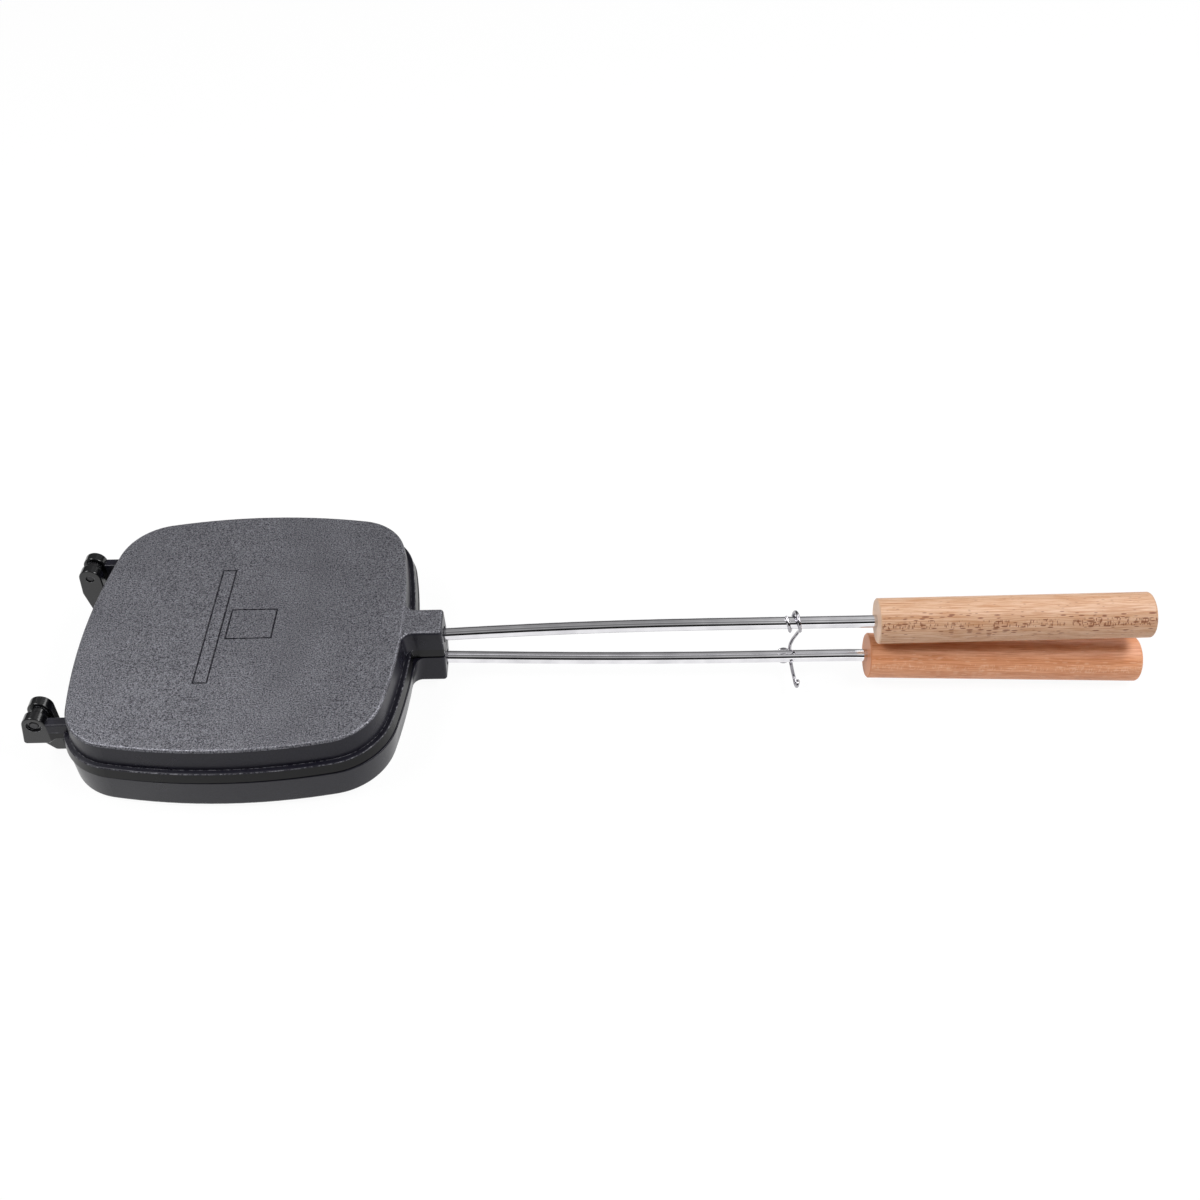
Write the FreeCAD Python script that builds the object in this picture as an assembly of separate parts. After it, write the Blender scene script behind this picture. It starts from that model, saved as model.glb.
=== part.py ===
import FreeCAD, Part
import math
import os

# A long-handled camp cooking iron for a slice of bread.
# Two cast square halves close on each other, hinged at the left by two pins.
# A steel rod with a turned wooden handle leaves the boss of each half towards +X.
# A wire hook wound round the upper rod catches under the lower rod.
# All sizes are millimetres. Heights are measured from the seam while the pieces are made,
# and the finished pieces are lifted so that the lower half's flat base lies at z = 0.

# Outline that both halves share: bowed sides and round corners, at the upper face
side_bow_radius = 228.0
corner_radius = 22.3

# Cast halves, from the seam outwards
flange_half_width = 66.3
flange_draft = 0.7
flange_height = 4.3
flange_ledge_width = 1.5
flange_edge_radius = 0.5
upper_depth = 13.9
upper_wall_draft = 1.2
upper_edge_radius = 1.2
rim_set_in = 0.1
rim_edge_radius = 0.4
rim_shift = 0.6
lower_depth = 14.6
lower_wall_draft = 1.2
base_shift = -0.6
base_edge_radius = 1.6
seam_clearance = 0.08
seam_angle = 0.33

# Cavity for the bread, the same in both halves
seam_land_width = 5.2
cavity_draft = 3.0
cavity_depth = 10.0
cavity_floor_radius = 3.0

# Plain outlined panels engraved in the upper face
panel_groove_width = 0.7
panel_groove_depth = 0.45
strip_panel_left = -14.2
strip_panel_width = 6.0
strip_panel_length = 61.2
square_panel_left = -6.3
square_panel_width = 18.6
square_panel_length = 16.2

# Bosses that hold the rods
boss_stand_out = 12.1
boss_draft = 0.4
boss_width = 13.4
boss_height = 13.4
boss_root_depth = 9.0
boss_flare_radius = 4.0
boss_edge_radius = 1.3
boss_mouth_radius = 3.3
boss_mouth_depth = 1.2

# Rods
rod_radius = 2.5
rod_fit = 0.02
rod_seat_depth = 12.4
upper_rod_height = 9.6
upper_rod_spread_angle = 3.0
upper_rod_bend = 137.5
upper_rod_bend_radius = 1620.0
lower_rod_drop = 9.9
lower_rod_spread_angle = 2.4
lower_rod_bend = 155.0
lower_rod_bend_radius = 2148.0
handle_bend_radius = 120.0
upper_handle_bend = 243.0
upper_handle_angle = 0.49
lower_handle_bend = 240.0
lower_handle_angle = -2.53
tang_depth = 55.0

# Handles
handle_radius = 9.0
handle_front_chamfer = 0.4
handle_end_radius = 1.2
handle_bore_end_gap = 1.5
upper_handle_stand_off = 6.1
upper_handle_length = 107.6
lower_handle_stand_off = 7.3
lower_handle_length = 109.6

# Hinge: the pins, and both lugs as distances from the pin's axis
hinge_stand_out = 5.1
pin_height = 7.8
pin_radius = 1.75
pin_fit = 0.02
pin_running_fit = 0.08
pin_recess = 0.5
pin_chamfer = 0.3
eye_radius = 4.5
pin_mouth_radius = 2.9
pin_mouth_depth = 0.9
lug_edge_radius = 0.5
lug_root_depth = 16.0
outer_lug_inside = 40.6
outer_lug_thickness = 4.1
outer_lug_arm_rise = 0.5
outer_lug_toe = 6.4
outer_lug_toe_clearance = 0.3
outer_lug_heel_start = 3.2
outer_lug_heel_reach = 6.4
outer_lug_heel_drop = 9.8
outer_lug_heel_radius = 1.2
inner_lug_inside = 33.3
inner_lug_thickness = 4.2
inner_lug_belly_reach = 5.2
inner_lug_belly_drop = 8.3
inner_lug_heel_reach = 3.4
inner_lug_heel_drop = 17.8
inner_lug_toe = 0.5
inner_lug_toe_clearance = 0.04
inner_lug_toe_radius = 1.5
inner_lug_shoulder_drop = 9.3
spacer_radius = 3.2
spacer_clearance = 0.3

# Wire hook
wire_radius = 0.7
hook_fit = 0.08
hook_pitch = 4.3
hook_place = 213.3
hook_coil_turns = 0.75
hook_big_turn_radius = 4.7
hook_big_turn_share = 0.63
hook_big_turn_step = 2.4
hook_curl_radius = 2.55
hook_curl_pitch = 2.4
hook_curl_tilt = 45.0
hook_curl_stand_off = 4.9
hook_curl_centre = 1.1
finger_curl_radius = 1.05
finger_curl_turns = 0.66
finger_curl_step = 0.7
hook_steps_per_turn = 8
hook_gap_step = 0.35
# Route of the wire from the wide turn down to the curl, from the upper rod's axis:
# each point along the rods from the coil, towards the rear, and up
hook_neck_route = [(6.0, 1.5, -6.3), (5.3, 3.5, -10.8)]
# Route on to the curl, and then of the arm under the rod to the finger curl,
# from the lower rod's axis
hook_shank_route = [(4.3, 5.3, 3.4), (3.8, 6.0, -0.6)]
hook_arm_route = [(3.8, 1.1, -4.2), (4.0, -2.2, -5.0), (4.3, -7.0, -5.0), (4.6, -11.4, -4.9)]

# How near an edge lies to where it is looked for
edge_tolerance = 0.05

# Half widths of the outlines, worked out from the flange inwards
flange_top_half_width = flange_half_width - flange_draft
wall_foot_half_width = flange_top_half_width - flange_ledge_width
face_half_width = wall_foot_half_width - upper_wall_draft
rim_half_width = flange_half_width - rim_set_in
base_half_width = rim_half_width - lower_wall_draft
cavity_rim_half_width = rim_half_width - seam_land_width
cavity_floor_half_width = cavity_rim_half_width - cavity_draft

# Places worked out from the sizes above
boss_seam_reach = flange_half_width + boss_stand_out
boss_outer_reach = boss_seam_reach - boss_draft
boss_root = flange_half_width - boss_root_depth
rod_seat = boss_seam_reach - rod_seat_depth
pin_reach = flange_half_width + hinge_stand_out
lug_root = pin_reach - lug_root_depth
outer_lug_outside = outer_lug_inside + outer_lug_thickness
inner_lug_outside = inner_lug_inside + inner_lug_thickness

ALONG = FreeCAD.Vector(1, 0, 0)
BACK = FreeCAD.Vector(0, 1, 0)
UP = FreeCAD.Vector(0, 0, 1)
ORIGIN = FreeCAD.Vector(0, 0, 0)
QUARTER_TURN = math.pi / 2
FULL_TURN = 2 * math.pi


def place(x, z):
    """A point in the upright plane through the rods."""
    return FreeCAD.Vector(x, 0, z)


def polygon_prism(points, y_start, y_end):
    """A solid with the given outline in X and Z, from one Y to another."""
    corners = [FreeCAD.Vector(x, y_start, z) for x, z in points]
    face = Part.Face(Part.makePolygon(corners + corners[:1]))
    return face.extrude(BACK * (y_end - y_start))


def cross_cylinder(radius, x, z, y_start, y_end):
    """A cylinder along Y."""
    return Part.makeCylinder(radius, y_end - y_start, FreeCAD.Vector(x, y_start, z), BACK)


def rear_twin(shape):
    """The copy of a front shape at the far side of the iron."""
    return shape.mirror(ORIGIN, BACK)


def polar(centre_x, centre_y, radius, angle, z):
    x = centre_x + radius * math.cos(angle)
    y = centre_y + radius * math.sin(angle)
    return FreeCAD.Vector(x, y, z)


def arc_about(centre_x, centre_y, radius, start, end, z):
    """A level arc between two angles about a centre."""
    middle = (start + end) / 2
    ends = [polar(centre_x, centre_y, radius, angle, z) for angle in (start, middle, end)]
    return Part.Arc(*ends).toShape()


def rounded_square(half_width, z, centre_x):
    """The shared outline, grown or shrunk evenly to a half width, as a closed wire."""
    growth = half_width - face_half_width
    bow = side_bow_radius - face_half_width
    reach = side_bow_radius - corner_radius
    corner = (math.sqrt(2 * reach ** 2 - bow ** 2) - bow) / 2
    side_turn = math.atan2(corner, corner + bow)
    edges = []
    for quarter in range(4):
        heading = quarter * QUARTER_TURN
        side_x = centre_x - bow * math.cos(heading)
        side_y = -bow * math.sin(heading)
        side_radius = side_bow_radius + growth
        edges.append(arc_about(side_x, side_y, side_radius, heading - side_turn, heading + side_turn, z))
        corner_x = centre_x + corner * (math.cos(heading) - math.sin(heading))
        corner_y = corner * (math.sin(heading) + math.cos(heading))
        round_end = heading + QUARTER_TURN - side_turn
        edges.append(arc_about(corner_x, corner_y, corner_radius + growth, heading + side_turn, round_end, z))
    return Part.Wire(edges)


def square_block(start_half_width, end_half_width, height, start_x=0, end_x=0):
    """A solid that tapers evenly from one outline at the seam to another above it."""
    start = rounded_square(start_half_width, 0, start_x)
    end = rounded_square(end_half_width, height, end_x)
    return Part.makeLoft([start, end], True, True)


def level_edges(shape, z):
    """The edges of a shape that lie flat at one height."""
    box_of = [(edge, edge.BoundBox) for edge in shape.Edges]
    return [edge for edge, box in box_of if abs(box.ZMin - z) + abs(box.ZMax - z) < edge_tolerance]


def cavity():
    """The space for the bread above the seam, with a rounded floor edge."""
    space = square_block(cavity_rim_half_width, cavity_floor_half_width, cavity_depth)
    return space.makeFillet(cavity_floor_radius, level_edges(space, cavity_depth))


def boss_outline(reach, wall, z):
    """The boss seen from above, flared where it meets the wall."""
    half = boss_width / 2
    flare = boss_flare_radius
    slant = flare - flare * math.sqrt(2) / 2
    front = [(boss_root, -half - flare), (wall, -half - flare), (wall + flare, -half), (reach, -half)]
    rear = [(x, -y) for x, y in reversed(front)]
    points = [FreeCAD.Vector(x, y, z) for x, y in front + rear]
    edges = []
    for start, end in zip(points, points[1:] + points[:1]):
        flared = start.x != end.x and start.y != end.y
        middle = FreeCAD.Vector(wall + slant, math.copysign(half + slant, start.y), z)
        curve = Part.Arc(start, middle, end) if flared else Part.LineSegment(start, end)
        edges.append(curve.toShape())
    return Part.Wire(edges)


def boss(seam_wall, outer_wall):
    """The block on the handle side that holds a rod, drafted like the wall."""
    seam_outline = boss_outline(boss_seam_reach, seam_wall, 0)
    outer_outline = boss_outline(boss_outer_reach, outer_wall, boss_height)
    block = Part.makeLoft([seam_outline, outer_outline], True, True)
    flare_end = seam_wall + boss_flare_radius
    outside = [edge for edge in block.Edges
               if edge.CenterOfMass.x > flare_end and edge.CenterOfMass.z > boss_edge_radius]
    return block.makeFillet(boss_edge_radius, outside)


def rod_socket(path, reach):
    """The tight bore for a rod and its wider mouth in the boss."""
    bore = tube(path, rod_radius + rod_fit)
    start = path.Edges[0].Vertexes[0].Point
    ahead = path.Edges[0].tangentAt(path.Edges[0].FirstParameter)
    to_mouth = (reach - boss_mouth_depth - start.x) / ahead.x
    mouth = Part.makeCylinder(boss_mouth_radius, 2 * boss_mouth_depth, start + ahead * to_mouth, ahead)
    return bore.fuse(mouth)


def tube(path, radius):
    """A round bar along a path of tangent lines and arcs."""
    first = path.Edges[0]
    start = first.Vertexes[0].Point
    section = Part.Wire(Part.makeCircle(radius, start, first.tangentAt(first.FirstParameter)))
    return path.makePipeShell([section], True, False)


def bent_path(points, radii):
    """Straight runs joined by tangent arcs, one radius for each inner point."""
    edges = []
    start = points[0]
    for index, radius in enumerate(radii):
        corner = points[index + 1]
        back = (points[index] - corner).normalize()
        ahead = (points[index + 2] - corner).normalize()
        half_angle = back.getAngle(ahead) / 2
        bisector = (back + ahead).normalize()
        run_end = corner + back * (radius / math.tan(half_angle))
        run_start = corner + ahead * (radius / math.tan(half_angle))
        middle = corner + bisector * (radius / math.sin(half_angle) - radius)
        edges.append(Part.LineSegment(start, run_end).toShape())
        edges.append(Part.Arc(run_end, middle, run_start).toShape())
        start = run_start
    edges.append(Part.LineSegment(start, points[-1]).toShape())
    return Part.Wire(edges)


def rod_path(height, spread_angle, bend, bend_radius, handle_bend, handle_angle, handle_run):
    """The route of a rod from its seat in the boss to its end inside the handle."""
    seat_height = height - (bend - rod_seat) * math.tan(math.radians(spread_angle))
    slope = math.radians(handle_angle)
    end = place(handle_bend + handle_run * math.cos(slope), height + handle_run * math.sin(slope))
    points = [place(rod_seat, seat_height), place(bend, height), place(handle_bend, height), end]
    return bent_path(points, [bend_radius, handle_bend_radius])


def handle(height, handle_bend, handle_angle, stand_off, length):
    """A turned wooden handle with a blind bore for the rod's tang."""
    slope = math.radians(handle_angle)
    ahead = place(math.cos(slope), math.sin(slope))
    start = place(handle_bend, height) + ahead * stand_off
    body = Part.makeCylinder(handle_radius, length, start, ahead)
    front, end = sorted(body.Faces, key=lambda face: face.CenterOfMass.x)[::2]
    body = body.makeChamfer(handle_front_chamfer, front.Edges)
    far_rim = [edge for edge in body.Edges
               if edge.CenterOfMass.distanceToPoint(end.CenterOfMass) < edge_tolerance]
    body = body.makeFillet(handle_end_radius, far_rim)
    bore_length = tang_depth + handle_bore_end_gap
    return body.cut(Part.makeCylinder(rod_radius + rod_fit, bore_length, start, ahead))


def tangent_point(point, centre, radius, side):
    """Where a line from a point, in X and Z, touches a circle on one side."""
    across = centre[0] - point[0]
    above = centre[1] - point[1]
    distance = math.hypot(across, above)
    angle = math.atan2(above, across) + side * math.asin(radius / distance)
    run = math.sqrt(distance ** 2 - radius ** 2)
    return point[0] + run * math.cos(angle), point[1] + run * math.sin(angle)


def rounded_at(shape, radius, spots):
    """The shape with the edges along Y at the given spots, in X and Z, rounded."""
    chosen = [edge for edge in shape.Edges for x, z in spots
              if math.hypot(edge.CenterOfMass.x - x, edge.CenterOfMass.z - z) < edge_tolerance]
    return shape.makeFillet(radius, chosen)


def eased(shape, y_faces):
    """The shape with its outline edges at the given Y softened, except at its root."""
    chosen = [edge for edge in shape.Edges for y in y_faces
              if abs(edge.BoundBox.YMin - y) + abs(edge.BoundBox.YMax - y) < edge_tolerance
              and edge.CenterOfMass.x < -lug_root - edge_tolerance]
    return shape.makeFillet(lug_edge_radius, chosen)


def from_pin(reach, drop):
    """A point in X and Z at a distance beyond the hinge pin's axis and below it."""
    return -pin_reach - reach, pin_height - drop


def outer_lug():
    """The front hinge lug of the upper half: an arm with an eye and a tail past the seam."""
    pin = from_pin(0, 0)
    heel = from_pin(outer_lug_heel_reach, outer_lug_heel_drop)
    heel_start = from_pin(-outer_lug_heel_start, outer_lug_heel_drop)
    toe = (outer_lug_toe - pin_reach, outer_lug_toe_clearance)
    eye_left = tangent_point(heel, pin, eye_radius, 1)
    arm_top = from_pin(0, -outer_lug_arm_rise)
    outline = [(-lug_root, outer_lug_toe_clearance), toe, heel_start, heel, eye_left, pin,
               arm_top, (-lug_root, arm_top[1])]
    tail = polygon_prism(outline, -outer_lug_outside, -outer_lug_inside)
    tail = rounded_at(tail, outer_lug_heel_radius, [heel])
    eye = cross_cylinder(eye_radius, *pin, -outer_lug_outside, -outer_lug_inside)
    lug = tail.fuse(eye).removeSplitter()
    return eased(lug, [-outer_lug_outside, -outer_lug_inside])


def inner_lug():
    """The front hinge lug of the lower half, with the spacer that meets the outer lug."""
    pin = from_pin(0, 0)
    belly = from_pin(inner_lug_belly_reach, inner_lug_belly_drop)
    heel = from_pin(inner_lug_heel_reach, inner_lug_heel_drop)
    toe = (inner_lug_toe - pin_reach, inner_lug_toe_clearance - lower_depth)
    shoulder = from_pin(-eye_radius, inner_lug_shoulder_drop)
    eye_left = tangent_point(belly, pin, eye_radius, 1)
    eye_right = from_pin(-eye_radius, 0)
    outline = [(-lug_root, toe[1]), toe, heel, belly, eye_left, pin, eye_right, shoulder, (-lug_root, shoulder[1])]
    plate = polygon_prism(outline, -inner_lug_outside, -inner_lug_inside)
    plate = rounded_at(plate, inner_lug_toe_radius, [toe])
    eye = cross_cylinder(eye_radius, *pin, -inner_lug_outside, -inner_lug_inside)
    lug = plate.fuse(eye).removeSplitter()
    lug = eased(lug, [-inner_lug_outside, -inner_lug_inside])
    spacer_end = -outer_lug_inside + spacer_clearance
    return lug.fuse(cross_cylinder(spacer_radius, *pin, spacer_end, -inner_lug_inside - lug_edge_radius))


def pin_hole(radius):
    return cross_cylinder(radius, -pin_reach, pin_height, -outer_lug_outside, -inner_lug_inside)


def panel_groove(left, width, length):
    """A thin rectangular line engraved in the upper face."""
    floor = upper_depth - panel_groove_depth
    inside_width = width - 2 * panel_groove_width
    inside_length = length - 2 * panel_groove_width
    outer = Part.makeBox(width, length, upper_depth, FreeCAD.Vector(left, -length / 2, floor))
    inner_corner = FreeCAD.Vector(left + panel_groove_width, -inside_length / 2, floor)
    inner = Part.makeBox(inside_width, inside_length, upper_depth, inner_corner)
    return outer.cut(inner)


def hang_open(shape):
    """The upper half as the latch holds it, open by the seam angle about the hinge pins."""
    lifted = shape.translated(UP * seam_clearance)
    return lifted.rotated(place(-pin_reach, pin_height), -BACK, seam_angle)


def upper_plate(path):
    """The cast upper half with its flange, boss and outer hinge lugs."""
    flange = square_block(flange_half_width, flange_top_half_width, flange_height)
    flange = flange.makeFillet(flange_edge_radius, level_edges(flange, flange_height))
    wall = square_block(wall_foot_half_width, face_half_width, upper_depth)
    wall = wall.makeFillet(upper_edge_radius, level_edges(wall, upper_depth))
    lug = outer_lug()
    solid = flange.fuse([wall, boss(wall_foot_half_width, face_half_width), lug, rear_twin(lug)])
    solid = solid.cut(cavity())
    solid = solid.cut(panel_groove(strip_panel_left, strip_panel_width, strip_panel_length))
    solid = solid.cut(panel_groove(square_panel_left, square_panel_width, square_panel_length))
    solid = hang_open(solid.removeSplitter())
    mouth = cross_cylinder(pin_mouth_radius, -pin_reach, pin_height,
                           -outer_lug_outside - pin_mouth_depth, pin_mouth_depth - outer_lug_outside)
    hole = pin_hole(pin_radius + pin_running_fit).fuse(mouth)
    return solid.cut([hole, rear_twin(hole), rod_socket(path, boss_seam_reach)])


def lower_plate(path):
    """The cast lower half with its boss and inner hinge lugs, flat at its base."""
    wall = square_block(rim_half_width, base_half_width, lower_depth, rim_shift, base_shift)
    wall = wall.makeFillet(base_edge_radius, level_edges(wall, lower_depth))
    wall = wall.makeFillet(rim_edge_radius, level_edges(wall, 0))
    block = boss(rim_half_width + rim_shift, base_half_width + base_shift)
    lug = inner_lug()
    solid = wall.fuse(block).mirror(ORIGIN, UP).fuse([lug, rear_twin(lug)])
    solid = solid.cut(cavity().mirror(ORIGIN, UP)).removeSplitter()
    hole = pin_hole(pin_radius + pin_fit)
    return solid.cut([hole, rear_twin(hole), rod_socket(path, boss_seam_reach)])


def hinge_pin():
    """The front hinge pin, a little short of the lugs' faces."""
    start = pin_recess - outer_lug_outside
    end = -inner_lug_inside - pin_recess
    pin = cross_cylinder(pin_radius, -pin_reach, pin_height, start, end)
    rims = [edge for edge in pin.Edges if edge.BoundBox.YLength < edge_tolerance]
    return pin.makeChamfer(pin_chamfer, rims)


def arc_between(start, corner, end):
    """The arc that touches the lines from a corner to two points equally far from it."""
    middle = (start + end) / 2
    half_chord = start.distanceToPoint(end) / 2
    rise = corner.distanceToPoint(middle)
    sagitta = half_chord * rise / (start.distanceToPoint(corner) + half_chord)
    return Part.Arc(start, middle + (corner - middle).normalize() * sagitta, end).toShape()


def biarc(start, start_heading, end, end_heading):
    """Two tangent arcs between two points, each point left and met along its heading."""
    across = end - start
    headings = start_heading + end_heading
    spread = 2 * (1 - start_heading.dot(end_heading))
    along = across.dot(headings)
    reach = (math.sqrt(along ** 2 + spread * across.dot(across)) - along) / spread
    first_corner = start + start_heading * reach
    second_corner = end - end_heading * reach
    middle = (first_corner + second_corner) / 2
    return [arc_between(start, first_corner, middle), arc_between(middle, second_corner, end)]


def smooth_path(points):
    """A path of tangent arcs through all the points."""
    inner = []
    for before, here, after in zip(points, points[1:], points[2:]):
        arriving = here - before
        leaving = after - here
        heading = arriving * (leaving.Length / arriving.Length) + leaving * (arriving.Length / leaving.Length)
        inner.append(heading.normalize())
    first_chord = (points[1] - points[0]).normalize()
    last_chord = (points[-1] - points[-2]).normalize()
    first = first_chord * (2 * first_chord.dot(inner[0])) - inner[0]
    last = last_chord * (2 * last_chord.dot(inner[-1])) - inner[-1]
    headings = [first] + inner + [last]
    edges = []
    for index in range(len(points) - 1):
        edges += biarc(points[index], headings[index], points[index + 1], headings[index + 1])
    return Part.Wire(edges)


def hook_coil_points():
    """A close start round the upper rod, then one turn that stands out above it."""
    close_radius = rod_radius + hook_fit + wire_radius
    close_steps = round(hook_coil_turns * hook_steps_per_turn)
    wide_steps = round(hook_big_turn_share * hook_steps_per_turn)
    points = []
    for step in range(-close_steps, wide_steps + 1):
        angle = FULL_TURN * step / hook_steps_per_turn
        widening = math.sin(math.pi * max(step, 0) / wide_steps)
        radius = close_radius + (hook_big_turn_radius - close_radius) * widening
        x = hook_place + hook_pitch * (step + close_steps) / hook_steps_per_turn
        if step > 0:
            x = hook_place + hook_pitch * hook_coil_turns + hook_big_turn_step * step / wide_steps
        y = radius * math.cos(angle)
        points.append(FreeCAD.Vector(x, y, upper_rod_height + radius * math.sin(angle)))
    return points


def hook_curl_points():
    """One open turn of the wire behind and below the lower rod."""
    tilt = math.radians(hook_curl_tilt)
    outward = FreeCAD.Vector(0, math.cos(tilt), -math.sin(tilt))
    downward = FreeCAD.Vector(0, -math.sin(tilt), -math.cos(tilt))
    centre = place(hook_place + hook_curl_centre, -lower_rod_drop) + outward * hook_curl_stand_off
    points = []
    for step in range(hook_steps_per_turn + 1):
        share = step / hook_steps_per_turn
        round_offset = ALONG * math.cos(FULL_TURN * share) + downward * math.sin(FULL_TURN * share)
        points.append(centre + round_offset * hook_curl_radius + outward * (hook_curl_pitch * (1 - 2 * share) / 2))
    return points


def finger_curl_points(arm_end):
    """The small curl at the end of the arm."""
    centre = arm_end + UP * finger_curl_radius
    steps = round(finger_curl_turns * hook_steps_per_turn)
    points = []
    for step in range(1, steps + 1):
        angle = FULL_TURN * step / hook_steps_per_turn
        offset = -BACK * math.sin(angle) - UP * math.cos(angle)
        points.append(centre + offset * finger_curl_radius + ALONG * (finger_curl_step * step / steps))
    return points


def least_self_gap(path):
    """The least gap between two turns of the hook's wire, from points along it."""
    points = path.discretize(Distance=hook_gap_step)
    half_turn = round(math.pi * finger_curl_radius / hook_gap_step)
    spans = [here.distanceToPoint(other) for index, here in enumerate(points)
             for other in points[index + half_turn:]]
    return min(spans) - 2 * wire_radius


def latch_hook():
    """The wire hook, one unbroken wire from its coil to its finger curl."""
    by_upper_rod = place(hook_place, upper_rod_height)
    by_lower_rod = place(hook_place, -lower_rod_drop)
    neck = [by_upper_rod + FreeCAD.Vector(*point) for point in hook_neck_route]
    shank = [by_lower_rod + FreeCAD.Vector(*point) for point in hook_shank_route]
    arm = [by_lower_rod + FreeCAD.Vector(*point) for point in hook_arm_route]
    points = hook_coil_points() + neck + shank + hook_curl_points() + arm + finger_curl_points(arm[-1])
    path = smooth_path(points)
    print("least gap of the hook's wire to itself", round(least_self_gap(path), 2))
    return tube(path, wire_radius)


def main():
    """Build every piece and write it, lifted so that the base is at z = 0."""
    os.makedirs("parts", exist_ok=True)
    upper_run = upper_handle_stand_off + tang_depth
    lower_run = lower_handle_stand_off + tang_depth
    upper_path = rod_path(upper_rod_height, upper_rod_spread_angle, upper_rod_bend, upper_rod_bend_radius,
                          upper_handle_bend, upper_handle_angle, upper_run)
    lower_path = rod_path(-lower_rod_drop, -lower_rod_spread_angle, lower_rod_bend, lower_rod_bend_radius,
                          lower_handle_bend, lower_handle_angle, lower_run)
    pieces = {
        "lower_plate": lower_plate(lower_path),
        "upper_plate": upper_plate(upper_path),
        "front_hinge_pin": hinge_pin(),
        "rear_hinge_pin": rear_twin(hinge_pin()),
        "lower_rod": tube(lower_path, rod_radius),
        "upper_rod": tube(upper_path, rod_radius),
        "lower_handle": handle(-lower_rod_drop, lower_handle_bend, lower_handle_angle,
                               lower_handle_stand_off, lower_handle_length),
        "upper_handle": handle(upper_rod_height, upper_handle_bend, upper_handle_angle,
                               upper_handle_stand_off, upper_handle_length),
        "latch_hook": latch_hook(),
    }
    for name, shape in pieces.items():
        lifted = shape.translated(UP * lower_depth)
        print(name, "solids", len(lifted.Solids), "valid", lifted.isValid(), "volume", round(lifted.Volume, 1))
        lifted.exportStep(f"parts/{name}.step")


main()
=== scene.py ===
import math

import bpy
from bpy.props import FloatProperty, FloatVectorProperty, PointerProperty
from mathutils import Matrix, Vector


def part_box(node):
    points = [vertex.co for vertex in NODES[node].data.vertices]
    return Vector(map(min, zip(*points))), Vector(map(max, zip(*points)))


bl_info = {
    "name": "Pie Iron",
    "version": (1, 0, 0),
    "blender": (4, 5, 0),
    "location": "3D View > Sidebar > Pie Iron",
    "description": "Finishes and sets out a hinged camp cooking iron with wooden handles",
    "category": "Object",
}

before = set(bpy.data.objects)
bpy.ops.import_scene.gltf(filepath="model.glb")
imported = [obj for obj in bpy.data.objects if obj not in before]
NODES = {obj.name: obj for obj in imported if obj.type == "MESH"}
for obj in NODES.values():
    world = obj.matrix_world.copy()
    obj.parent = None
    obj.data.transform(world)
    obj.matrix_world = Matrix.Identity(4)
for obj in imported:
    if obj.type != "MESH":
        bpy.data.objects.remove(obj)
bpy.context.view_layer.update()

MILLIMETRE = 0.001

# A Mix node's sockets share their names, so they go by number
SHARE, NUMBER_A, NUMBER_B, COLOUR_A, COLOUR_B = 0, 2, 3, 6, 7
MIXED_COLOUR = 2

# Zones of the castings: where each begins to show and where it is full. The lid lies a third of
# a degree open, so heights on it are measured square to it.
LID_SLOPE = 0.00576
TOP_SKIN = (27.9 * MILLIMETRE, 28.3 * MILLIMETRE)
BASE_SKIN = (0.8 * MILLIMETRE, 0.2 * MILLIMETRE)
FLANGE_FOOT = (14.9 * MILLIMETRE, 15.1 * MILLIMETRE)
FLANGE_HEAD = (18.9 * MILLIMETRE, 18.7 * MILLIMETRE)
HINGE_END = (-66.8 * MILLIMETRE, -67.2 * MILLIMETRE)

# Level lines on the castings: height of the middle and half the width
PANEL_GROOVE = (28.53 * MILLIMETRE, 0.3 * MILLIMETRE)
FLANGE_LEDGE = (19.15 * MILLIMETRE, 0.14 * MILLIMETRE)
SEAM = (14.6 * MILLIMETRE, 1.2 * MILLIMETRE)

# How far from the middle the engraved panels and the walls reach
PANEL_REACH = 55 * MILLIMETRE
WALL_REACH = 66.2 * MILLIMETRE

# Sizes of the patterns on the castings, the plating and the pins
COAT_BLOTCH = 18 * MILLIMETRE
RUBBED_PATCH = 1.6 * MILLIMETRE
DRAWING_LINE = 0.4 * MILLIMETRE
PLATING_HAZE = 9 * MILLIMETRE
PIN_RUB = 0.8 * MILLIMETRE

# Sizes of the patterns in the beech, and how far its grain leans from the handles
YEAR_RING = 2.2 * MILLIMETRE
PORE = 0.32 * MILLIMETRE
RAY_PATCH = 3 * MILLIMETRE
GRAIN_LEAN = math.radians(0.3)

# How far behind a handle's front end the sawn wood's colour begins to show and is full
SAWN_END = (0.6 * MILLIMETRE, 0.2 * MILLIMETRE)

# Wood rays cut by the surface, as dashes and as upright flecks: their scale along the grain, out
# from the heart and across, the size of the cell that holds one, how far from the line that is
# sawn along the rays they crowd and thin out, and their reach in cells there and further off
RAY_FLECKS = (
    {"scale": (0.13, 0.5, 1.0), "cell": 0.46 * MILLIMETRE, "crowded_to": 3.2 * MILLIMETRE,
     "thin_from": 5.5 * MILLIMETRE, "crowded_reach": 0.46, "thin_reach": 0.2},
    {"scale": (1.0, 0.25, 1.0), "cell": 0.5 * MILLIMETRE, "crowded_to": 1.2 * MILLIMETRE,
     "thin_from": 2.2 * MILLIMETRE, "crowded_reach": 0.5, "thin_reach": 0.0},
)

# The floor: its width in metres, the level of its paper, the strength of the white that shows in
# its place, and how much of that white the camera and the reflections see
FLOOR_WIDTH = 30
PAPER_LEVEL = 0.85
WHITE_STRENGTH = 1.02
WHITE_SEEN = 0.93
WHITE_MIRRORED = 0.95

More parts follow.
